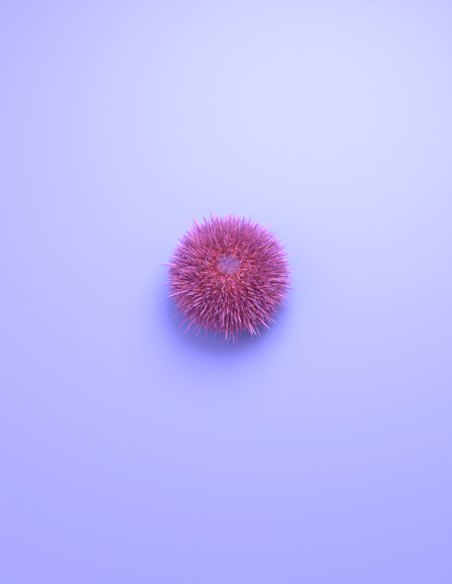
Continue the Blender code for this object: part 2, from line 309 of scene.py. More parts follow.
spineLook = {
    "coolStops": [  # from root to tip on the magenta spines of the sides
        (0.00, (146, 46, 168)), (0.10, (176, 66, 180)), (0.18, (194, 80, 176)), (0.23, (222, 114, 152)),
        (0.28, (218, 104, 156)), (0.34, (204, 76, 172)), (0.50, (208, 98, 180)),
        (0.72, (204, 118, 186)), (0.90, (196, 138, 198)), (1.00, (190, 150, 214)),
    ],
    "warmStops": [  # on the red ones round the apical plates
        (0.00, (134, 16, 76)), (0.12, (184, 34, 90)), (0.24, (208, 50, 92)), (0.34, (230, 112, 96)),
        (0.40, (232, 120, 108)), (0.48, (220, 82, 114)), (0.64, (216, 92, 142)),
        (0.85, (214, 118, 164)), (1.00, (216, 144, 190)),
    ],
    "goldStops": [  # and on the few whose bands run together in orange
        (0.00, (110, 14, 40)), (0.16, (196, 40, 52)), (0.30, (230, 120, 80)), (0.46, (236, 160, 112)),
        (0.60, (222, 92, 102)), (0.80, (224, 110, 162)), (1.00, (228, 160, 208)),
    ],
    "paleStops": [(0.0, (200, 120, 184)), (0.55, (208, 148, 204)), (1.0, (186, 148, 228))],
    "paleRoot": 0.25,  # how much of a pale spine's colour its root takes, beside all at its tip
    "darkest": (174, 144, 200),  # what the darkest spine is multiplied by
    "toneSteps": 17.3,  # scrambles the tone, so that darkness and bands don't go together
    "bandShift": 0.12,  # how far the bands wander from spine to spine
    "ribs": 14, "ribStrength": 0.5, "ribDepth": 0.00005,
    "mottle": (260, 3200, 0.25, 0.00004), "roughness": 0.48,
}


def makeSpineMaterial(name, look):
    material, tree, sockets = newMaterial(name, look["roughness"])
    tone = readAttribute(tree, "tone")
    along = readAttribute(tree, "along")
    wander = addMath(tree, "MULTIPLY_ADD", tone, look["bandShift"], -look["bandShift"] / 2)
    place = addMath(tree, "ADD", along, wander)
    colour = addRamp(tree, place, look["coolStops"])
    for mask in ("warm", "gold"):
        layer = addRamp(tree, place, look[mask + "Stops"])
        colour = addMix(tree, "MIX", readAttribute(tree, mask), colour, layer)
    paleShare = addMath(tree, "MULTIPLY_ADD", along, 1 - look["paleRoot"], look["paleRoot"])
    paleShare = addMath(tree, "MULTIPLY", readAttribute(tree, "pale"), paleShare)
    colour = addMix(tree, "MIX", paleShare, colour, addRamp(tree, along, look["paleStops"]))
    shade = addMath(tree, "FRACT", addMath(tree, "MULTIPLY", tone, look["toneSteps"]))
    colour = addMix(tree, "MULTIPLY", shade, colour, paint(*look["darkest"]))
    turns = addMath(tree, "MULTIPLY", readAttribute(tree, "around"), math.tau * look["ribs"])
    bump = tree.nodes.new("ShaderNodeBump")
    bump.inputs["Strength"].default_value = look["ribStrength"]
    bump.inputs["Distance"].default_value = look["ribDepth"]
    tree.links.new(addMath(tree, "SINE", turns), bump.inputs["Height"])
    tree.links.new(addMottle(tree, look["mottle"])["Normal"], bump.inputs["Normal"])
    tree.links.new(colour, sockets["Base Color"])
    tree.links.new(bump.outputs["Normal"], sockets["Normal"])
    return material


skinLook = {
    "stops": [(0.30, (128, 38, 144)), (0.50, (164, 64, 166)), (0.70, (186, 92, 184))],
    "masks": {"apex": [(0.30, (156, 32, 92)), (0.50, (182, 56, 118)), (0.70, (196, 86, 150))]},
    "mottle": (110, 1500, 0.6, 0.00015), "grainShade": (190, 170, 190), "roughness": 0.55,
}

plateLook = {
    "stops": [(0.30, (88, 34, 94)), (0.50, (103, 46, 112)), (0.72, (122, 62, 134))],
    "masks": {
        "rim": [(0.30, (104, 30, 78)), (0.50, (124, 46, 100)), (0.72, (140, 60, 122))],
        # painted shade: the dark colour laid into the pores, the grooves between plates and the anus
        "shadedHollow": (80, 26, 78),
    },
    "mottle": (520, 2200, 0.6, 0.00015), "grainShade": (186, 160, 190), "roughness": 0.65,
}


def makeMottledMaterial(name, look):  # patches of colour, with others where the named masks say so
    material, tree, sockets = newMaterial(name, look["roughness"])
    mottle = addMottle(tree, look["mottle"])
    colour = addRamp(tree, mottle["Patches"], look["stops"])
    for mask, over in look["masks"].items():
        layer = paint(*over) if isinstance(over, tuple) else addRamp(tree, mottle["Patches"], over)
        colour = addMix(tree, "MIX", readAttribute(tree, mask), colour, layer)
    colour = addMix(tree, "MULTIPLY", mottle["Grains"], colour, paint(*look["grainShade"]))
    tree.links.new(colour, sockets["Base Color"])
    tree.links.new(mottle["Normal"], sockets["Normal"])
    return material


footLook = {
    "stops": [(0.0, (150, 60, 120)), (0.4, (190, 110, 190)), (1.0, (206, 160, 232))],
    "mottle": (500, 4000, 0.3, 0.00003),
    "patchShade": (255, 255, 255),  # no patches show on the feet
    "subsurface": 0.3, "reach": 0.0006, "roughness": 0.35,
}


def makeAlongMaterial(name, look):  # colours that follow the piece from its root to its end
    material, tree, sockets = newMaterial(name, look["roughness"])
    mottle = addMottle(tree, look["mottle"])
    colour = addRamp(tree, readAttribute(tree, "along"), look["stops"])
    colour = addMix(tree, "MULTIPLY", mottle["Patches"], colour, paint(*look["patchShade"]))
    tree.links.new(colour, sockets["Base Color"])
    tree.links.new(mottle["Normal"], sockets["Normal"])
    sockets["Subsurface Weight"].default_value = look["subsurface"]
    sockets["Subsurface Scale"].default_value = look["reach"]
    return material


# The test: a sphere pulled to the meridian, with its plates' sutures, sunk under the lid and mouth

testDetail = {
    "segments": 300, "rings": 190,
    "steepest": 1.55,  # latitude past which the poles count as flat
    "inset": 0.15 * mm,
    "sink": 1.2 * mm,  # how deep it drops under the apical plates and the mouth's membrane
    "plateHeight": 2.9 * mm, "suture": 0.2 * mm, "sutureWidth": 0.5 * mm,
    "apexGlow": 31 * mm,  # how far down the warmer colour of the top reaches
}


def makeTestSkin(detail):
    bpy.ops.mesh.primitive_uv_sphere_add(
        segments=detail["segments"], ring_count=detail["rings"], radius=testShape["radius"]
    )
    skin = bpy.context.object
    skin.name = "testSkin"
    spots = readSpots(skin.data)
    latitude = np.arcsin(np.clip(spots[:, 2] / testShape["radius"], -1, 1))
    turn = np.arctan2(spots[:, 1], spots[:, 0])
    radius, rise = meridian(latitude)
    lean = normalAt(np.clip(latitude, -detail["steepest"], detail["steepest"]))
    arc = arcOfLatitude(latitude)
    fromArm = np.abs((turn - testShape["firstArm"] + armTurn / 2) % armTurn - armTurn / 2)
    fromEdge = fromArm - testShape["ambulacrumHalf"]
    middles = np.minimum(fromArm, armTurn / 2 - fromArm)
    seam = np.minimum(middles, np.abs(fromEdge)) * radius / detail["sutureWidth"]
    stagger = np.where(fromEdge < 0, 0.5, 0)
    row = (arc / detail["plateHeight"] + stagger) % 1
    row = np.minimum(row, 1 - row) * detail["plateHeight"] / detail["sutureWidth"]
    drop = detail["suture"] * np.maximum(np.exp(-row ** 2), np.exp(-seam ** 2))
    hidden = (latitude > arcTop) | (latitude < arcBottom)
    drop = np.where(hidden, detail["sink"], drop) + detail["inset"]
    radius = np.maximum(radius - lean[:, 0] * drop, 0)
    rise = rise - lean[:, 1] * drop
    writeSpots(skin.data, np.stack([radius * np.cos(turn), radius * np.sin(turn), rise], axis=1))
    addNumbers(skin.data, "apex", np.exp(-(arc / detail["apexGlow"]) ** 2))
    return skin


skinMaterial = makeMottledMaterial("test skin", skinLook)
columnNodes = [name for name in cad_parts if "ambulacrum" in name]
finishPiece(makeTestSkin(testDetail), skinMaterial, "spiny_test", *columnNodes)
print("test skin made")


# Spines: lathe-turned shafts with a neck and a milled ring, each on its own tubercle, in one mesh

bakeMap = {"patchSize": 0.003, "margin": 0.01, "span": 0.97}


def addPatches(mesh, roots, around, along, owner):  # each root's place on an unwrap of the test
    turn = (np.arctan2(roots[:, 1], roots[:, 0]) / math.tau) % 1
    radius = np.hypot(roots[:, 0], roots[:, 1])
    arc = arcOfLatitude(latitudeAt(radius, roots[:, 2] > testShape["ambitus"])) / arcTotal
    u = (bakeMap["margin"] + bakeMap["span"] * turn)[owner] + bakeMap["patchSize"] * around
    v = (bakeMap["margin"] + bakeMap["span"] * arc)[owner] + bakeMap["patchSize"] * along
    layer = mesh.uv_layers.new(name="OFBake")
    layer.uv.foreach_set("vector", np.stack([u, v], axis=1).astype(np.float32).ravel())


def shaftRings(spines, style, rng):  # the middle and radius of every ring, and its share of the length
    base = np.array(style["base"]) * mm  # height and radius of the tubercle, neck and ring
    shaft = np.array(style["shaft"])  # share of the length above them, and radius in millimetres
    start = base[-1, 0] * spines.scales
    baseHeights = base[None, :, 0] * spines.scales[:, None]
    shaftHeights = start[:, None] + (spines.lengths - start)[:, None] * shaft[None, :, 0]
    heights = np.concatenate([baseHeights, shaftHeights], axis=1)
    radii = np.concatenate([base[:, 1], shaft[:, 1] * mm])[None] * spines.scales[:, None]
    radii = radii * (1 + style["uneven"] * rng.standard_normal(radii.shape))
    share = np.clip(heights / spines.lengths[:, None], 0, 1)
    bent = spines.bends[:, None] * (share ** 2)[..., None]
    centres = spines.roots[:, None] + spines.leans[:, None] * heights[..., None] + bent
    return centres, radii, share


def shaftSpots(spines, centres, radii, style, rng):  # ring after ring from the root, then the tip
    # The helper points any way but the lean's own
    helper = np.where(np.abs(spines.leans[:, 2:3]) < 0.9, [[0.0, 0.0, 1.0]], [[1.0, 0.0, 0.0]])
    first = unit(np.cross(spines.leans, helper))
    second = np.cross(spines.leans, first)
    sides = style["sides"]
    turns = np.arange(sides) * math.tau / sides + rng.uniform(0, math.tau, (spines.count, 1))
    ringOut = first[:, None] * np.cos(turns)[..., None] + second[:, None] * np.sin(turns)[..., None]
    spots = centres[:, :, None] + ringOut[:, None] * radii[..., None, None]
    tips = centres[:, -1] + spines.leans * (radii[:, -1] * style["tipRise"])[:, None]
    return np.concatenate([spots.reshape(spines.count, -1, 3), tips[:, None]], axis=1)


def shaftFaces(count, rings, sides):  # four-sided faces between rings, three-sided at the tip, and a cap
    side = np.arange(sides)
    nextSide = (side + 1) % sides
    tip = rings * sides
    last = tip - sides
    quads = np.stack([side, nextSide, sides + nextSide, sides + side], axis=1)
    quads = (quads[None] + np.arange(rings - 1)[:, None, None] * sides).reshape(-1, 4)
    tris = np.stack([last + side, last + nextSide, np.full(sides, tip)], axis=1)
    starts = np.arange(count) * (tip + 1)
    quads = (quads[None] + starts[:, None, None]).reshape(-1, 4)
    tris = (tris[None] + starts[:, None, None]).reshape(-1, 3)
    caps = side[::-1][None] + starts[:, None]
    corners = np.concatenate([quads.ravel(), tris.ravel(), caps.ravel()])
    return corners, np.repeat([4, 3, sides], [len(quads), len(tris), count])


def shaftTurns(count, rings, sides):  # how far round its spine each of those faces' corners lies
    side = np.arange(sides)
    quads = np.tile(np.stack([side, side + 1, side + 1, side], axis=1) / sides, (rings - 1, 1))
    tris = np.stack([side, side + 1, side + 0.5], axis=1) / sides
    return np.concatenate([
        np.tile(quads, (count, 1)).ravel(),
        np.tile(tris, (count, 1)).ravel(),
        np.tile(side[::-1] / sides, count),
    ])


def meshFromCorners(name, spots, corners, sizes):
    mesh = bpy.data.meshes.new(name)
    mesh.vertices.add(len(spots))
    mesh.loops.add(len(corners))
    mesh.loops.foreach_set("vertex_index", corners)
    mesh.polygons.add(len(sizes))
    mesh.polygons.foreach_set("loop_start", np.concatenate([[0], np.cumsum(sizes)[:-1]]))
    mesh.update(calc_edges=True)
    writeSpots(mesh, spots)
    mesh.validate()
    return mesh


def joinShafts(name, spines, style, rng):
    centres, radii, share = shaftRings(spines, style, rng)
    spots = shaftSpots(spines, centres, radii, style, rng)
    count, perSpine, _ = spots.shape
    rings, sides = radii.shape[1], style["sides"]
    corners, sizes = shaftFaces(count, rings, sides)
    mesh = meshFromCorners(name, spots.reshape(-1, 3), corners, sizes)
    along = np.concatenate([np.repeat(share, sides, axis=1), np.ones((count, 1))], axis=1).ravel()
    addNumbers(mesh, "along", along)
    for key, values in spines.paints.items():
        addNumbers(mesh, key, np.repeat(values, perSpine))
    around = shaftTurns(count, rings, sides)
    addNumbers(mesh, "around", around, "CORNER")
    addPatches(mesh, spines.roots, around, along[corners], corners // perSpine)
    piece = bpy.data.objects.new(name, mesh)
    bpy.context.scene.collection.objects.link(piece)
    return piece


coat = {
    "longTop": 8.5 * mm, "longSide": 17.4 * mm, "longBase": 10.0 * mm,  # lengths of the long spines
    "commonTop": 6.4 * mm, "commonSide": 10.8 * mm, "commonBase": 7.5 * mm,  # and of the others
    "fall": 1.5,
    "longShare": 0.14,  # share of long spines, and how many more there are below the ambitus
    "longShareLow": 0.05,
    "longLeast": 0.66,  # the shortest of the long ones, as a share of the full length
    "longMost": 1.24, "longLeastLow": 0.84,
    "lowMiddle": math.radians(-24), "lowWidth": math.radians(22),
    "thickness": 0.78,  # of the shortest spines, and how much more over a length
    "thickening": 0.24, "thickeningLength": 14 * mm, "thicknessLimits": (0.7, 1.12),
    "thickerLow": 0.3, "sizes": (0.9, 1.1),
    "warmReach": 18 * mm,  # how far down from the apical plates the red spines go
    "warmSpread": 0.2,
    "paintedShadeFront": 0.4,  # painted shade: how much redder the spines at the front are made, where they face away from the light
    "goldShare": 0.15,  # share of the spines with orange bands, and how many more near the plates
    "goldShareTop": 0.37, "goldStrengths": (0.6, 1),
    "paleLong": (0.6, 1), "paleCommon": (0, 0.5), "paleLow": 0.4,
    "paintedLightBehind": 0.5,  # painted light: how much paler the spines are at the back, where the light falls, than at the front
    "behindSlope": 0.6, "behindStart": 0.4,
    "rosyTop": 0.3,  # how much less pale they are round the plates
    "crownReach": 8 * mm,  # how far down the untidy spines round the plates go
    "crownSplay": 0.2,
    "crownSway": 0.5,  # how much those at the back lean over the plates, and at the front away
    "crownTilt": 1.2, "lowerSplay": 0.75,
    "shortFront": 0.15,  # how much shorter the common spines are at the front
    "standingInner": 17 * mm, "standingOuter": 28 * mm,  # where spines stand on the floor
    "standingHeight": 12 * mm, "standingSplay": math.radians(38),
    "footHeight": 0.15 * mm, "footGap": 0.1 * mm,
    "floorGap": 0.5 * mm, "floorCut": 0.97,  # how the others are cut clear of it
    "boxGap": 0.3 * mm, "boxCut": 1.3,
    "frontStrip": 1.4,  # how much wider the bare strip is that runs from the plates to the front
    "ambulacralStrip": 0.45,  # and how much narrower those of the ambulacra are
    "stripLimit": 0.4,  # the most that a bare strip takes of half a column
    "firstArc": 0.2 * mm,
}


def lengthAt(latitude, kind):
    share = np.abs(latitude) / (math.pi / 2)
    end = np.where(latitude >= 0, coat[kind + "Top"], coat[kind + "Base"])
    return coat[kind + "Side"] + (end - coat[kind + "Side"]) * share ** coat["fall"]


def coatPlaces(half, middle, widen, style, rng):  # staggered rows across both halves of a column
    arcs = []
    turns = []
    for side, first in ((1, style["firstRow"]), (-1, style["firstRow"] + style["rowGap"] / 2)):
        for arc in np.arange(first, arcTotal - style["lastRow"], style["rowGap"]):
            latitude = latitudeOfArc(arc)
            radius = float(meridian(latitude)[0])
            bare = style["median"] * widen * (1 + style["bareAbove"] * max(0.0, math.sin(latitude)))
            bare = min(bare, radius * half * coat["stripLimit"])
            width = max(radius * half - style["edge"] - bare, 0.0)
            count = int(width / style["spineGap"]) + 1
            for k in range(count):
                across = bare + width * (k / (count - 1) if count > 1 else 0.5)
                arcs.append(arc + rng.normal(0, style["shift"]))
                turns.append(middle + side * (across + rng.normal(0, style["shift"])) / radius)
    return latitudeOfArc(np.clip(arcs, coat["firstArc"], arcTotal)), np.array(turns)


def inwardPull(turns, style, rng):  # how much the spines lean towards the apex
    pull = rng.uniform(*style["inward"], len(turns)) + style["inwardBehind"] * np.sin(turns)
    for middle, amount in style["corners"]:
        apart = (turns - middle + math.pi) % math.tau - math.pi
        pull += amount * np.exp(-(apart / style["cornerWidth"]) ** 2)
    return pull


upward = np.array([0, 0, 1.0])


def rootSpines(latitudes, turns):  # where the spines stand, and how near what changes their look
    radius, height = meridian(latitudes)
    arcs = arcOfLatitude(latitudes)
    count = len(latitudes)
    behind = np.sin(turns)
    out = np.stack([np.cos(turns), behind, np.zeros(count)], axis=1)
    return SimpleNamespace(
        count=count,
        latitudes=latitudes,
        turns=turns,
        radius=radius,
        height=height,
        behind=behind,
        before=np.maximum(-behind, 0),
        crown=np.exp(-(arcs / coat["crownReach"]) ** 2),
        warm=np.exp(-(arcs / coat["warmReach"]) ** 2),
        low=np.exp(-((latitudes - coat["lowMiddle"]) / coat["lowWidth"]) ** 2),
        out=out,
        across=np.stack([-behind, np.cos(turns), np.zeros(count)], axis=1),
        roots=out * radius[:, None] + upward * height[:, None],
    )


def leanSpines(spines, style, rng):
    lowSplay = coat["lowerSplay"] * np.sin(spines.latitudes) ** 2
    lean = normalAt(spines.latitudes)
    lean[:, 0] += np.where(spines.latitudes < 0, lowSplay, coat["crownSplay"] * spines.crown)
    lean[:, 0] -= inwardPull(spines.turns, style, rng) + coat["crownSway"] * spines.crown * spines.behind
    lean = unit(lean)
    straight = spines.out * lean[:, :1] + upward * lean[:, 1:]
    spines.downTest = np.cross(spines.across, straight)
    tilt = rng.normal(0, style["tilt"], (spines.count, 2)) * (1 + coat["crownTilt"] * spines.crown)[:, None]
    spines.leans = unit(straight + spines.across * tilt[:, :1] + spines.downTest * tilt[:, 1:])


def lengthenSpines(spines, style, rng):  # some are long, and all are a little bent
    count = spines.count
    reach = style["reach"] + style["reachBehind"] * np.maximum(spines.behind, 0)
    lengths = lengthAt(spines.latitudes, "common") * (reach * (1 - coat["shortFront"] * spines.before))
    lengths = lengths * rng.uniform(1 - style["spread"], 1 + style["spread"], count)
    longShare = coat["longShare"] + coat["longShareLow"] * spines.low
    spines.long = rng.random(count) < longShare * style["longOnes"]
    least = coat["longLeast"] + (coat["longLeastLow"] - coat["longLeast"]) * spines.low
    longReach = least + (coat["longMost"] - least) * rng.random(count)
    spines.lengths = np.where(spines.long, lengthAt(spines.latitudes, "long") * longReach, lengths)
    sag = rng.normal(0, style["sag"], (count, 2)) * spines.lengths[:, None]
    spines.bends = spines.across * sag[:, :1] + spines.downTest * sag[:, 1:]


def standSpines(spines, style, rng):  # some of the lower ones carry the animal
    stands = (rng.random(spines.count) < style["standing"]) & (spines.latitudes < 0)
    stands = stands & (spines.height < coat["standingHeight"])
    stands = stands & (spines.radius > coat["standingInner"]) & (spines.radius < coat["standingOuter"])
    feet = spines.roots + spines.out * (spines.height * math.tan(coat["standingSplay"]))[:, None]
    feet[:, 2] = coat["footHeight"]
    toFeet = feet - spines.roots
    spines.leans = np.where(stands[:, None], unit(toFeet), spines.leans)
    spines.lengths = np.where(stands, np.linalg.norm(toFeet, axis=1) - coat["footGap"], spines.lengths)
    spines.bends = np.where(stands[:, None], 0, spines.bends)
    spines.stands = stands


def spineTips(spines):
    return spines.roots + spines.leans * spines.lengths[:, None] + spines.bends


def cutSpines(spines):  # clear of the floor, then back inside the solids' box
    tips = spineTips(spines)
    deep = (~spines.stands) & (tips[:, 2] < coat["floorGap"])
    cut = (spines.height - coat["floorGap"]) / np.maximum(spines.height - tips[:, 2], 1e-6)
    spines.lengths = np.where(deep, spines.lengths * cut * coat["floorCut"], spines.lengths)
    spines.bends = np.where(deep[:, None], 0, spines.bends)
    tips = spineTips(spines)
    boxLow, boxHigh = (np.array(corner) for corner in cadBox)
    over = np.maximum(tips - (boxHigh - coat["boxGap"]), (boxLow + coat["boxGap"]) - tips)
    over[:, 2] = tips[:, 2] - (boxHigh[2] - coat["boxGap"])
    spines.lengths = spines.lengths - np.maximum(over, 0).max(axis=1) * coat["boxCut"]


def finishSpines(spines, style, rng):  # their thickness and their paints
    count, warm, low, long = spines.count, spines.warm, spines.low, spines.long
    thickness = coat["thickness"] + coat["thickening"] * spines.lengths / coat["thickeningLength"]
    thickness = np.clip(thickness, *coat["thicknessLimits"]) * (1 + coat["thickerLow"] * low * long)
    gold = rng.random(count) < (coat["goldShare"] + coat["goldShareTop"] * warm) * style["gold"]
    # The front's share of the redness is painted shade; the rest is the spines' own red near the plates
    redness = style["warm"] + warm + coat["paintedShadeFront"] * spines.before
    spines.scales = style["size"] * rng.uniform(*coat["sizes"], count) * thickness
    spines.paints = {
        "tone": rng.random(count),
        "warm": np.clip(redness + rng.normal(0, coat["warmSpread"], count), 0, 1),
        "gold": gold * rng.uniform(*coat["goldStrengths"], count),
    }
    pale = np.where(long, rng.uniform(*coat["paleLong"], count), rng.uniform(*coat["paleCommon"], count))
    # Painted light: the spines at the back are made paler
    pale += coat["paintedLightBehind"] * np.clip(coat["behindSlope"] * spines.behind + coat["behindStart"], 0, 1)
    pale = pale * style["pale"] * (1 - coat["rosyTop"] * warm)
    spines.paints["pale"] = pale + coat["paleLow"] * low * long


def growSpines(name, latitudes, turns, style, rng):
    spines = rootSpines(latitudes, turns)
    leanSpines(spines, style, rng)
    lengthenSpines(spines, style, rng)
    standSpines(spines, style, rng)
    cutSpines(spines)
    finishSpines(spines, style, rng)
    return joinShafts(name, spines, style, rng)


plainStyle = {  # what most of the spines below have in common
    "sides": 5, "tipRise": 0.8, "uneven": 0.02,
    "inward": (0, 0), "inwardBehind": 0, "corners": (), "reachBehind": 0,
    "spread": 0.3, "sag": 0.012, "longOnes": 0, "size": 1.0,
    "standing": 0, "warm": 0, "gold": 1.0, "pale": 0,
}

primaryStyle = {
    **plainStyle,
    "seed": 100, "sides": 6,
    "base": [(-0.4, 1.0), (0.12, 0.9), (0.38, 0.44), (0.62, 0.64), (1.1, 0.5)],
    "shaft": [(0.25, 0.43), (0.6, 0.37), (0.86, 0.27), (1.0, 0.11)],
    "tilt": 0.09, "reach": 1.0, "reachBehind": 0.2, "spread": 0.2,
    "longOnes": 1.0, "standing": 0.6, "pale": 1.0,
    "rowGap": 2.8 * mm, "spineGap": 2.5 * mm, "firstRow": 0.7 * mm, "lastRow": 1.2 * mm,
    "edge": 0.8 * mm, "median": 0.9 * mm, "bareAbove": 1.0, "shift": 0.25 * mm,
}

slenderStyle = {  # thinner ones that stand between them, nearly as long
    **plainStyle,
    "seed": 300,
    "base": [(-0.3, 0.6), (0.1, 0.52), (0.3, 0.26), (0.5, 0.4), (0.85, 0.31)],
    "shaft": [(0.35, 0.27), (0.8, 0.19), (1.0, 0.07)],
    "tilt": 0.11, "reach": 0.9, "reachBehind": 0.25, "spread": 0.25,
    "pale": 0.8, "warm": -0.15,
    "rowGap": 2.8 * mm, "spineGap": 2.5 * mm, "firstRow": 2.1 * mm, "lastRow": 1.6 * mm,
    "edge": 1.6 * mm, "median": 1.7 * mm, "bareAbove": 0.4, "shift": 0.35 * mm,
}

secondaryStyle = {
    **plainStyle,
    "seed": 500,
    "base": [(-0.3, 0.5), (0.05, 0.46), (0.22, 0.2), (0.42, 0.32), (0.62, 0.26)],
    "shaft": [(0.4, 0.22), (0.8, 0.15), (1.0, 0.07)],
    "tilt": 0.2, "sag": 0.02, "reach": 0.46, "warm": 0.08,
    "rowGap": 1.9 * mm, "spineGap": 1.5 * mm, "firstRow": 0.4 * mm, "lastRow": 0.8 * mm,
    "edge": 0.4 * mm, "median": 0.5 * mm, "bareAbove": 2.0, "shift": 0.35 * mm,
}

fineStyle = {  # the smallest spines, which hide the test between the others
    **plainStyle,
    "seed": 900, "sides": 4,
    "base": [(-0.2, 0.26), (0.08, 0.22), (0.25, 0.16)],
    "shaft": [(0.5, 0.13), (1.0, 0.05)],
    "tilt": 0.28, "sag": 0.02, "reach": 0.26, "spread": 0.35, "pale": 0.2,
    "rowGap": 1.35 * mm, "spineGap": 1.3 * mm, "firstRow": 0.3 * mm, "lastRow": 0.6 * mm,
    "edge": 0.3 * mm, "median": 0.3 * mm, "bareAbove": 1.0, "shift": 0.4 * mm,
}

pincerStyle = {  # pedicellariae: a thin stalk that carries a small jawed head
    **plainStyle,
    "seed": 1700, "tipRise": 0.2,
    "base": [(-0.2, 0.12), (0.1, 0.09), (0.3, 0.07)],
    "shaft": [(0.55, 0.07), (0.64, 0.16), (0.8, 0.2), (0.94, 0.12), (1.0, 0.04)],
    "tilt": 0.35, "sag": 0.08, "reach": 0.3, "pale": 0.3, "gold": 0,
    "rowGap": 4.2 * mm, "spineGap": 3.8 * mm, "firstRow": 1.6 * mm, "lastRow": 2.0 * mm,
    "edge": 1.2 * mm, "median": 0.8 * mm, "bareAbove": 0, "shift": 0.8 * mm,
}


def makeCoat(prefix, style, material):
    faces = 0
    for arm, ray in enumerate(rays):
        columns = (
            ("Ambulacrum", ray, testShape["ambulacrumHalf"]),
            ("Interambulacrum", ray + armTurn / 2, testShape["interambulacrumHalf"]),
        )
        for number, (column, middle, half) in enumerate(columns):
            rng = np.random.default_rng(style["seed"] + 10 * arm + number)
            widen = coat["ambulacralStrip"]
            if column == "Interambulacrum":
                facesFront = math.cos(middle + math.pi / 2) > 0.9
                widen = coat["frontStrip"] if facesFront else 1
            latitudes, turns = coatPlaces(half, middle, widen, style, rng)
            piece = growSpines(f"{prefix}{column}_{arm + 1}", latitudes, turns, style, rng)
            finishPiece(piece, material, "spiny_test")
            faces += len(piece.data.polygons)
    print(prefix, "faces", faces)


spineMaterial = makeSpineMaterial("banded spines", spineLook)
makeCoat("spines", primaryStyle, spineMaterial)
makeCoat("slenderSpines", slenderStyle, spineMaterial)
makeCoat("smallSpines", secondaryStyle, spineMaterial)
makeCoat("fineSpines", fineStyle, spineMaterial)
makeCoat("pincers", pincerStyle, spineMaterial)


fringeStyle = {  # short red spines that lean over the edge of the apical plates
    **secondaryStyle,
    "seed": 1300,
    "inward": (0.0, 0.9),
    "inwardBehind": 0.5,  # those at the back lean over most, as in the photo
    "corners": ((math.radians(-135), 1.1), (math.radians(-42), 0.9), (math.radians(160), 0.5)),
    "cornerWidth": math.radians(20),
    "tilt": 0.25, "reach": 0.5, "reachBehind": 0.5, "spread": 0.45,
    "warm": 1.0, "gold": 0.15, "size": 1.3,
    "count": 190, "band": (0.1 * mm, 2.2 * mm), "turnShift": 0.03,
}


def makeFringe(style, material):
    rng = np.random.default_rng(style["seed"])
    count = style["count"]
    latitudes = latitudeOfArc(rng.uniform(*style["band"], count))
    turns = np.linspace(0, math.tau, count, endpoint=False) + rng.normal(0, style["turnShift"], count)
    finishPiece(growSpines("apicalFringe", latitudes, turns, style, rng), material, "spiny_test")


discStyle = {  # tiny spines that stand on the apical plates
    **secondaryStyle,
    "seed": 1350,
    "tilt": 0.3, "reach": 0.26, "warm": -1.0, "gold": 0, "size": 0.8,
    "count": 46, "inner": 3.6 * mm, "outer": 9.6 * mm,
}


def makeDiscSpines(style, material):
    rng = np.random.default_rng(style["seed"])
    radius = np.sqrt(rng.uniform(style["inner"] ** 2, style["outer"] ** 2, style["count"]))
    turns = rng.uniform(0, math.tau, style["count"])
    piece = growSpines("plateSpines", latitudeAt(radius, True), turns, style, rng)
    finishPiece(piece, material, "apical_plates")


footStyle = {  # soft tube feet, each with a flared base and a small sucking disc
    **plainStyle,
    "seed": 1400, "tipRise": 0.3,
    "base": [(-0.2, 0.36), (0.1, 0.32), (0.45, 0.19)],
    "shaft": [(0.35, 0.17), (0.7, 0.15), (0.93, 0.14), (0.97, 0.3), (1.0, 0.28)],
    "tilt": 0.3, "sag": 0.2, "reach": 0.7, "pale": 1.0,
    "rowGap": 1.5 * mm, "firstRow": 2.0 * mm, "lastRow": 1.0 * mm, "rowShift": 0.2 * mm,
    "inset": 1.1 * mm,  # how far inside the edge of the ambulacrum the pores lie
    "fromMiddle": 0.4 * mm, "shift": 0.45 * mm,
}


def makeTubeFeet(style, material):
    for arm, ray in enumerate(rays):
        rng = np.random.default_rng(style["seed"] + arm)
        rows = np.arange(style["firstRow"], arcTotal - style["lastRow"], style["rowGap"])
        arcs = np.concatenate([rows, rows + style["rowGap"] / 2])
        arcs = arcs + rng.normal(0, style["rowShift"], len(arcs))
        latitudes = latitudeOfArc(np.clip(arcs, 0, arcTotal))
        radius = meridian(latitudes)[0]
        across = radius * testShape["ambulacrumHalf"] - style["inset"]
        across = np.maximum(across + rng.normal(0, style["shift"], len(arcs)), style["fromMiddle"])
        turns = ray + np.repeat([1, -1], len(rows)) * across / radius
        piece = growSpines(f"tubeFeet_{arm + 1}", latitudes, turns, style, rng)
        finishPiece(piece, material, "spiny_test")


makeFringe(fringeStyle, spineMaterial)
makeDiscSpines(discStyle, spineMaterial)
makeTubeFeet(footStyle, makeAlongMaterial("tube feet", footLook))
print("coat made")


# The apical plates: a ringed polar mesh for each, domed, granular and pierced by its pores

apical = {
    "periproctApothem": 3.1 * mm, "edge": 9.95 * mm,
    "ocularInner": 6.5 * mm, "ocularHalf": math.radians(13),
    "genitalBulge": 1.02,  # how far a plate's outer edge stands out in its middle
    "ocularBulge": 1.01,
    "gap": 0.05 * mm,  # half the groove between two plates
    "sidePoints": 60,
    "cornerRound": 0.012,  # share of the outline that each corner is rounded over
    "outlinePoints": 72,
    "innerPoints": 60,  # on the outlines that scattered spots are kept inside
    "rings": 12, "middleRing": 0.4,
    "depth": 1.4 * mm, "seat": 0.05 * mm, "dome": 0.12 * mm,
    "lip": 0.55 * mm,  # how quickly a plate rises from its groove
    "granules": 26, "ocularGranules": 7,
    "granuleHeight": 0.13 * mm, "granuleRadius": 0.156 * mm, "granuleGap": 0.546 * mm,
    "scatterReach": 0.86, "scatterTries": 40,
    "grooveReach": 0.1 * mm, "grooveShade": 0.22, "rimFall": 1.6,
    "genitalPore": 7.6 * mm, "ocularPore": 8.5 * mm,  # how far from the middle the pores lie
    "poreDepth": 0.6 * mm, "poreRadius": 0.345 * mm, "poreShade": 1.6,
    "genitalSeed": 40, "ocularSeed": 60,
}

madreporite = {  # the genital plate that is pierced all over by fine pores
    "number": 2, "swell": 1.5, "margin": 0.6 * mm, "topReach": 1.2 * mm, "seed": 77,
    "pores": 60, "poreGap": 0.5 * mm, "poreRadius": 0.13 * mm, "poreDepth": 0.16 * mm,
}


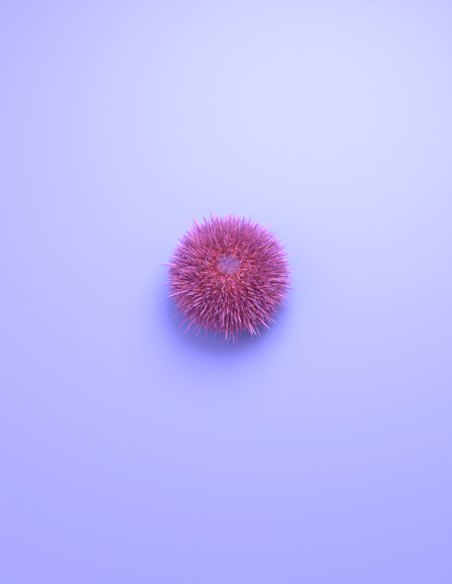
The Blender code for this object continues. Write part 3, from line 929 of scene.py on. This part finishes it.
def genitalOutline(middle):
    side = armTurn / 2
    corner = apical["periproctApothem"] / math.cos(side)
    inner, edge, half = apical["ocularInner"], apical["edge"], apical["ocularHalf"]
    return flatSpots(
        (corner, middle - side),
        (inner, middle - side),
        (edge, middle - side + half),
        (edge * apical["genitalBulge"], middle),
        (edge, middle + side - half),
        (inner, middle + side),
        (corner, middle + side),
    )


def ocularOutline(middle):
    edge, half = apical["edge"], apical["ocularHalf"]
    return flatSpots(
        (apical["ocularInner"], middle),
        (edge, middle - half),
        (edge * apical["ocularBulge"], middle),
        (edge, middle + half),
    )


def roundedOutline(corners, gap, count):  # evenly spaced points on the outline, drawn in by the gap
    shares = np.linspace(0, 1, apical["sidePoints"], endpoint=False)[:, None]
    dense = np.concatenate([
        corners[i - 1] + (corners[i] - corners[i - 1]) * shares for i in range(len(corners))
    ])
    spread = max(1, int(len(dense) * apical["cornerRound"]))
    window = range(-spread, spread + 1)
    for _ in range(2):
        dense = sum(np.roll(dense, shift, axis=0) for shift in window) / len(window)
    ahead = np.roll(dense, -1, axis=0) - np.roll(dense, 1, axis=0)
    dense = dense + unit(np.stack([-ahead[:, 1], ahead[:, 0]], axis=1)) * gap
    steps = np.linalg.norm(np.roll(dense, -1, axis=0) - dense, axis=1)
    way = np.concatenate([[0], np.cumsum(steps)])
    closed = np.concatenate([dense, dense[:1]])
    wanted = np.linspace(0, way[-1], count, endpoint=False)
    return np.stack([np.interp(wanted, way, closed[:, axis]) for axis in range(2)], axis=1)


def ringedPlate(name, outline):  # a disc of rings drawn in to the middle, over a wall
    bpy.ops.mesh.primitive_circle_add(vertices=len(outline), radius=1, fill_type="NGON")
    piece = bpy.context.object
    piece.name = name
    writeSpots(piece.data, np.concatenate([outline, np.zeros((len(outline), 1))], axis=1))
    centre = (*outline.mean(axis=0), apical["depth"])
    full = apical["rings"] + apical["middleRing"]
    steps = [(apical["depth"], 1, centre)]
    for ring in range(1, apical["rings"] + 1):
        steps.append((0, (1 - ring / full) / (1 - (ring - 1) / full), centre))
    raiseRings(steps)
    return piece


def outlineDistance(spots, outline):
    apart = spots[:, None, :2] - outline[None]
    return np.sqrt((apart ** 2).sum(axis=2)).min(axis=1)


def bumps(spots, places, radius):
    if len(places) == 0:
        return np.zeros(len(spots))
    apart = ((spots[:, None, :2] - places[None]) ** 2).sum(axis=2)
    return np.exp(-apart / radius ** 2).max(axis=1)


def scatterInside(outline, count, spacing, seed):
    rng = np.random.default_rng(seed)
    middle = outline.mean(axis=0)
    found = []
    for _ in range(count * apical["scatterTries"]):
        edge = outline[rng.integers(len(outline))]
        spot = middle + (edge - middle) * math.sqrt(rng.random()) * apical["scatterReach"]
        if all(np.linalg.norm(spot - other) > spacing for other in found):
            found.append(spot)
        if len(found) == count:
            break
    return np.array(found)


def pressIn(mesh, places, radius, depth, reach):  # dents in the top, as far down as the reach
    spots = readSpots(mesh)
    dents = bumps(spots, places, radius)
    spots[:, 2] -= depth * dents * (spots[:, 2] > spots[:, 2].max() - reach)
    writeSpots(mesh, spots)
    return dents


def makePlate(name, corners, pores, granules, seed, swell=1.0):
    outline = roundedOutline(corners, apical["gap"], apical["outlinePoints"])
    piece = ringedPlate(name, outline)
    spots = readSpots(piece.data)
    top = spots[:, 2] > apical["depth"] / 2
    away = np.hypot(spots[:, 0], spots[:, 1])
    rim = outlineDistance(spots, outline)
    dots = scatterInside(outline, granules, apical["granuleGap"], seed)
    grain = bumps(spots, dots, apical["granuleRadius"]) * np.minimum(rim / apical["lip"], 1)
    shadedHollow = bumps(spots, pores, apical["poreRadius"])
    rise = apical["dome"] * swell * (1 - np.exp(-rim / apical["lip"])) - apical["seat"]
    rise += apical["granuleHeight"] * grain - apical["poreDepth"] * shadedHollow
    floorHeight = domeHeight(apical["edge"]) - apical["depth"]
    spots[:, 2] = np.where(top, domeHeight(away) + rise, floorHeight)
    writeSpots(piece.data, spots)
    # Painted shade: the grooves between the plates and the pores are darkened in colour
    paintedGrooveShade = np.where(top, np.exp(-rim / apical["grooveReach"]) * apical["grooveShade"], 1)
    addNumbers(piece.data, "shadedHollow", np.maximum(np.clip(shadedHollow * apical["poreShade"], 0, 1), paintedGrooveShade))
    addNumbers(piece.data, "rim", np.clip(away / apical["edge"], 0, 1) ** apical["rimFall"])
    return piece


def makeMadreporite(values, corners, pore):
    plate = makePlate("madreporitePlate", corners, pore, 0, values["seed"], values["swell"])
    outline = roundedOutline(corners, values["margin"], apical["innerPoints"])
    sieve = scatterInside(outline, values["pores"], values["poreGap"], values["seed"])
    pressIn(plate.data, sieve, values["poreRadius"], values["poreDepth"], values["topReach"])
    return plate


def makeApicalPlates(material):
    for number, ray in enumerate(rays, 1):
        between = ray + armTurn / 2
        corners = genitalOutline(between)
        pore = flatSpots((apical["genitalPore"], between))
        if number == madreporite["number"]:
            plate = makeMadreporite(madreporite, corners, pore)
            finishPiece(plate, material, "apical_plates", "madreporite")
        else:
            seed = apical["genitalSeed"] + number
            plate = makePlate(f"genitalPlate_{number}", corners, pore, apical["granules"], seed)
            finishPiece(plate, material, "apical_plates", f"genital_plate_{number}")
        pore = flatSpots((apical["ocularPore"], ray))
        seed = apical["ocularSeed"] + number
        plate = makePlate(f"ocularPlate_{number}", ocularOutline(ray), pore, apical["ocularGranules"], seed)
        finishPiece(plate, material, "apical_plates", f"ocular_plate_{number}")


makeApicalPlates(makeMottledMaterial("apical plates", plateLook))


# The periproct: a membrane in the middle of the plates, paved with small platelets round the anus

periproct = {
    "anus": (0.45 * mm, -0.3 * mm),  # a little off the middle
    "anusDepth": 0.7 * mm, "anusRadius": 0.42 * mm, "anusShade": 0.6,
    "topReach": 0.5 * mm, "swell": 0.4,
    "platelets": ((1.0, 6, 0.36), (1.85, 9, 0.44), (2.65, 13, 0.40)),  # ring, how many, size
    "turnShift": 0.12, "ringSpread": (0.94, 1.06), "sizeSpread": (0.85, 1.12),
    "centred": 3.4,  # the ring whose middle would be that of the plates
    "margin": 0.3 * mm, "cornerShare": 0.93, "lift": 0.12 * mm, "scale": (0.86, 1.1, 0.528),
    "segments": 10, "rings": 6, "seed": 91,
}

periproctLook = {
    **plateLook,
    "stops": [(0.30, (100, 44, 114)), (0.50, (117, 57, 135)), (0.72, (136, 75, 156))],
}


def makePeriproct(values, material):
    corner = apical["periproctApothem"] / math.cos(armTurn / 2)
    corners = flatSpots(*((corner, ray) for ray in rays))
    anus = np.array([values["anus"]])
    membrane = makePlate("periproctMembrane", corners, (), 0, values["seed"], values["swell"])
    dents = pressIn(membrane.data, anus, values["anusRadius"], values["anusDepth"], values["topReach"])
    # Painted shade in the anus's dent
    shade = np.clip(values["anusShade"] * dents, 0, 1).astype(np.float32)
    membrane.data.attributes["shadedHollow"].data.foreach_set("value", shade)
    finishPiece(membrane, material, "periproct_skin", "periproct")
    rng = np.random.default_rng(values["seed"])
    outline = roundedOutline(corners, values["margin"], apical["innerPoints"])
    platelets = []
    for ring, count, size in values["platelets"]:
        for k in range(count):
            turn = math.tau * (k + rng.uniform(-values["turnShift"], values["turnShift"])) / count
            pull = ring * mm * rng.uniform(*values["ringSpread"])  # rings and sizes are in mm
            spot = anus[0] * (1 - ring / values["centred"]) + flatSpots((pull, turn))[0]
            fromMiddle = np.linalg.norm(spot)
            tooNear = outlineDistance(spot[None], outline)[0] < values["margin"]
            if tooNear or fromMiddle > corner * values["cornerShare"]:
                continue
            bpy.ops.mesh.primitive_uv_sphere_add(
                segments=values["segments"],
                ring_count=values["rings"],
                radius=size * mm * rng.uniform(*values["sizeSpread"]),
                location=(*spot, float(domeHeight(fromMiddle)) + values["lift"]),
                rotation=(0, 0, turn),
                scale=values["scale"],
            )
            platelets.append(bpy.context.object)
    finishPiece(joinRounds(platelets, "periproctPlatelets"), material, "periproct_skin")


makePeriproct(periproct, makeMottledMaterial("periproct membrane", periproctLook))
print("apical plates made")


# The mouth below: a folded membrane with a thick lip, buccal plates, gills and five teeth

mouth = {
    "segments": 120, "rings": 12, "recess": 2.3 * mm,
    "edge": 10.45 * mm, "edgeLift": 0.3 * mm, "sag": 0.35 * mm,
    "lipRadius": 3.6 * mm, "lipDrop": 0.8 * mm,
    "mouthRadius": 2.95 * mm, "throatShade": 0.8,
    "folds": 30, "foldHeight": 0.38 * mm, "waves": 22,
    "buccalRadius": 5.4 * mm, "buccalTurn": 0.2, "buccalSize": 0.62 * mm,
    "buccalScale": (0.8, 1.15, 0.55), "buccalLift": 0.28 * mm,
    "buccalSegments": 14, "buccalRings": 8,
    "gillRadius": 9.7 * mm, "gillTurn": 0.05, "gillSize": 0.42 * mm,
    "gillScale": (0.7, 0.7, 1.3), "lobes": 6, "lobeDetail": 2, "seed": 95,
    "lobeOut": (-0.5, 0.3), "lobeDown": (-0.2, 0.5),  # in mm
    "lobeTurn": (-0.07, 0.07), "lobeSizes": (0.6, 1),
}

membraneLook = {
    "stops": [(0.30, (120, 52, 92)), (0.50, (158, 84, 124)), (0.72, (186, 118, 150))],
    # painted shade: the dark colour laid down in the throat
    "masks": {"shadedHollow": (64, 16, 44)},
    "mottle": (260, 1900, 0.6, 0.00015), "grainShade": (200, 180, 190), "roughness": 0.5,
}


def makePeristome(values, material):
    roof = mouthRim + values["recess"]
    lip = mouthRim - values["lipDrop"]
    outer = mouthRim + values["edgeLift"]
    edge, lipRadius, throat = values["edge"], values["lipRadius"], values["mouthRadius"]
    profile = [(edge, roof), (edge, outer)]
    for ring in range(1, values["rings"] + 1):
        share = ring / values["rings"]
        sag = values["sag"] * math.sin(math.pi * share)
        profile.append((edge + (lipRadius - edge) * share, outer + (lip - outer) * share ** 1.5 + sag))
    # Past the lip the skin turns up into the throat
    profile += [
        (lipRadius - 0.3 * mm, lip - 0.05 * mm),
        (throat + 0.1 * mm, lip + 0.2 * mm),
        (throat, lip + 0.6 * mm),
        (throat, roof - 1.0 * mm),
    ]
    bpy.ops.mesh.primitive_circle_add(
        vertices=values["segments"], radius=edge, fill_type="NGON", location=(0, 0, roof)
    )
    piece = bpy.context.object
    piece.name = "mouthMembrane"
    raiseRings([
        (nextHeight - height, nextRadius / radius, (0, 0, nextHeight))
        for (radius, height), (nextRadius, nextHeight) in zip(profile, profile[1:])
    ])
    placeAtOrigin(piece)
    spots = readSpots(piece.data)
    radius = np.hypot(spots[:, 0], spots[:, 1])
    turn = np.arctan2(spots[:, 1], spots[:, 0])
    share = np.clip((edge - radius) / (edge - lipRadius), 0, 1)
    wave = np.sin(share * values["waves"] + 0.6 * np.sin(turn * testShape["arms"]))
    fold = values["foldHeight"] * (np.sin(turn * values["folds"]) * 0.6 + wave * 0.5)
    fold = fold * np.sin(math.pi * np.clip(share, 0.05, 0.95))
    between = (radius > throat + 0.2 * mm) & (radius < edge - 0.1 * mm)
    spots[:, 2] += np.where(between & (spots[:, 2] < mouthRim + 1 * mm), fold, 0)
    writeSpots(piece.data, spots)
    # Painted shade, darkening the skin down in the throat
    inThroat = np.clip((lipRadius - radius) / (0.6 * mm), 0, 1)
    addNumbers(piece.data, "shadedHollow", inThroat * values["throatShade"])
    finishPiece(piece, material, "mouth_membrane", "peristome")


def makeMouthPieces(values, material):  # a pair of buccal plates and of gills for each ray
    lip = mouthRim - values["lipDrop"]
    rng = np.random.default_rng(values["seed"])
    plates = []
    gills = []
    for ray in rays:
        for side in (-1, 1):
            turn = ray + side * values["buccalTurn"]
            bpy.ops.mesh.primitive_uv_sphere_add(
                segments=values["buccalSegments"],
                ring_count=values["buccalRings"],
                radius=values["buccalSize"],
                location=spotAt(values["buccalRadius"], turn, lip + values["buccalLift"]),
                rotation=(0, 0, turn),
                scale=values["buccalScale"],
            )
            plates.append(bpy.context.object)
            turn = ray + side * (testShape["ambulacrumHalf"] + values["gillTurn"])
            for _ in range(values["lobes"]):
                out = values["gillRadius"] + rng.uniform(*values["lobeOut"]) * mm
                around = turn + rng.uniform(*values["lobeTurn"])
                bpy.ops.mesh.primitive_ico_sphere_add(
                    subdivisions=values["lobeDetail"],
                    location=spotAt(out, around, mouthRim - rng.uniform(*values["lobeDown"]) * mm),
                    radius=values["gillSize"] * rng.uniform(*values["lobeSizes"]),
                    rotation=(rng.uniform(0, 3), rng.uniform(0, 3), 0),
                    scale=values["gillScale"],
                )
                gills.append(bpy.context.object)
    for pieces, name in ((plates, "buccalPlates"), (gills, "gills")):
        finishPiece(joinRounds(pieces, name), material, "mouth_membrane")


membraneMaterial = makeMottledMaterial("mouth membrane", membraneLook)
makePeristome(mouth, membraneMaterial)
makeMouthPieces(mouth, membraneMaterial)


teeth = {
    "length": 4.4 * mm, "rootGap": 1.2 * mm,
    "reach": 2.15 * mm, "tip": 0.75 * mm,  # from the middle, at the root and at the tip
    "curve": 1.8, "rootWidth": 1.05 * mm, "tipWidth": 0.34 * mm,
    "depth": 1.2 * mm, "thinning": 0.72,
    "keel": 0.55,  # how much narrower a tooth is on its inner side
    "crown": 0.12 * mm, "cuts": 9, "bevel": 0.09 * mm, "smoothAngle": math.radians(40),
}

toothLook = {
    "stops": [(0.0, (168, 150, 150)), (0.6, (214, 204, 198)), (1.0, (236, 232, 226))],
    "mottle": (300, 2600, 0.3, 0.00004), "patchShade": (226, 214, 214),
    "subsurface": 0, "reach": 0.05, "roughness": 0.28,
}


def makeTeeth(values, material):
    roof = mouthRim + mouth["recess"] - values["rootGap"]
    for number, ray in enumerate(rays, 1):
        bpy.ops.mesh.primitive_cube_add(size=1)
        piece = bpy.context.object
        piece.name = f"tooth_{number}_chisel"
        bpy.ops.object.mode_set(mode="EDIT")
        bpy.ops.mesh.select_all(action="SELECT")
        bpy.ops.mesh.subdivide(number_cuts=values["cuts"])
        bpy.ops.object.mode_set(mode="OBJECT")
        spots = readSpots(piece.data)
        inward = 0.5 - spots[:, 0]
        down = 0.5 - spots[:, 2]
        bend = down ** values["curve"]
        width = values["rootWidth"] + (values["tipWidth"] - values["rootWidth"]) * bend
        sideways = spots[:, 1] * 2 * width * (1 - values["keel"] * inward)
        radial = values["reach"] + (values["tip"] - values["reach"]) * bend
        radial -= inward * values["depth"] * (1 - values["thinning"] * bend)
        radial += values["crown"] * (1 - (2 * spots[:, 1]) ** 2) * (1 - inward)
        turn = ray + armTurn / 2
        x = radial * math.cos(turn) - sideways * math.sin(turn)
        y = radial * math.sin(turn) + sideways * math.cos(turn)
        writeSpots(piece.data, np.stack([x, y, roof - values["length"] * down], axis=1))
        bevel = piece.modifiers.new("soft edges", "BEVEL")
        bevel.width = values["bevel"]
        bevel.segments = 2
        bevel.limit_method = "ANGLE"
        selectOnly(piece)
        bpy.ops.object.modifier_apply(modifier=bevel.name)
        bpy.ops.object.shade_smooth_by_angle(angle=values["smoothAngle"])
        along = (roof - readSpots(piece.data)[:, 2]) / values["length"]
        addNumbers(piece.data, "along", np.clip(along, 0, 1))
        finishPiece(piece, material, "teeth", f"tooth_{number}")


makeTeeth(teeth, makeAlongMaterial("tooth", toothLook))
print("mouth made")


# The floor, the light and the camera

studio = {
    "floorSize": 4.0, "floorColour": (119, 129, 207), "floorRoughness": 0.8,
    "worldColour": (240, 208, 244), "worldStrength": 1.0,
    "key": {"colour": (248, 246, 255), "power": 5.85, "size": 0.36, "place": (0.10, 0.23, 0.44)},
    "fill": {"colour": (240, 226, 255), "power": 3.6, "size": 0.8, "place": (-0.40, -0.12, 0.65)},
}


def makeLight(name, values):
    lamp = bpy.data.lights.new(name, "AREA")
    lamp.energy = values["power"]
    lamp.size = values["size"]
    lamp.color = paint(*values["colour"])[:3]
    light = bpy.data.objects.new(name, lamp)
    light.location = values["place"]
    aim = Vector((0, 0, testShape["ambitus"])) - Vector(values["place"])
    light.rotation_euler = aim.to_track_quat("-Z", "Y").to_euler()
    bpy.context.scene.collection.objects.link(light)


def makeStudio(values):
    bpy.ops.mesh.primitive_plane_add(size=values["floorSize"])
    floor = bpy.context.object
    floor.name = "floor"
    material, tree, sockets = newMaterial("pale floor", values["floorRoughness"])
    sockets["Base Color"].default_value = paint(*values["floorColour"])
    floor.data.materials.append(material)
    world = bpy.data.worlds.new("soft room")
    world.use_nodes = True
    sky = world.node_tree.nodes["Background"].inputs
    sky["Color"].default_value = paint(*values["worldColour"])
    sky["Strength"].default_value = values["worldStrength"]
    bpy.context.scene.world = world
    for name in ("key", "fill"):
        makeLight(name, values[name])


makeStudio(studio)

photoView = {
    "elevation": math.radians(69), "distance": 0.6,
    "imageHeight": 584, "imageWidth": 452, "millimetresPerPixel": 0.8,
    "centreX": 229, "centreY": 275.5,  # where the middle of the urchin stands in the picture
    "middleHeight": 29 * mm, "sensor": 36, "nearest": 0.01,
}


def makeCamera(values):
    camera = bpy.data.objects.new("camera", bpy.data.cameras.new("camera"))
    bpy.context.scene.collection.objects.link(camera)
    bpy.context.scene.camera = camera
    pixel = values["millimetresPerPixel"] * mm
    back = Vector((0, -math.cos(values["elevation"]), math.sin(values["elevation"])))
    up = Vector((0, math.sin(values["elevation"]), math.cos(values["elevation"])))
    right = Vector((1, 0, 0))
    offX = (values["centreX"] - values["imageWidth"] / 2) * pixel
    offY = (values["imageHeight"] / 2 - values["centreY"]) * pixel
    aim = Vector((0, 0, values["middleHeight"])) - right * offX - up * offY
    camera.location = aim + back * values["distance"]
    camera.rotation_mode = "QUATERNION"
    camera.rotation_quaternion = (-back).to_track_quat("-Z", "Y")
    camera.data.sensor_width = values["sensor"]
    camera.data.lens = values["sensor"] * values["distance"] / (values["imageHeight"] * pixel)
    camera.data.clip_start = values["nearest"]


makeCamera(photoView)
print("studio made")
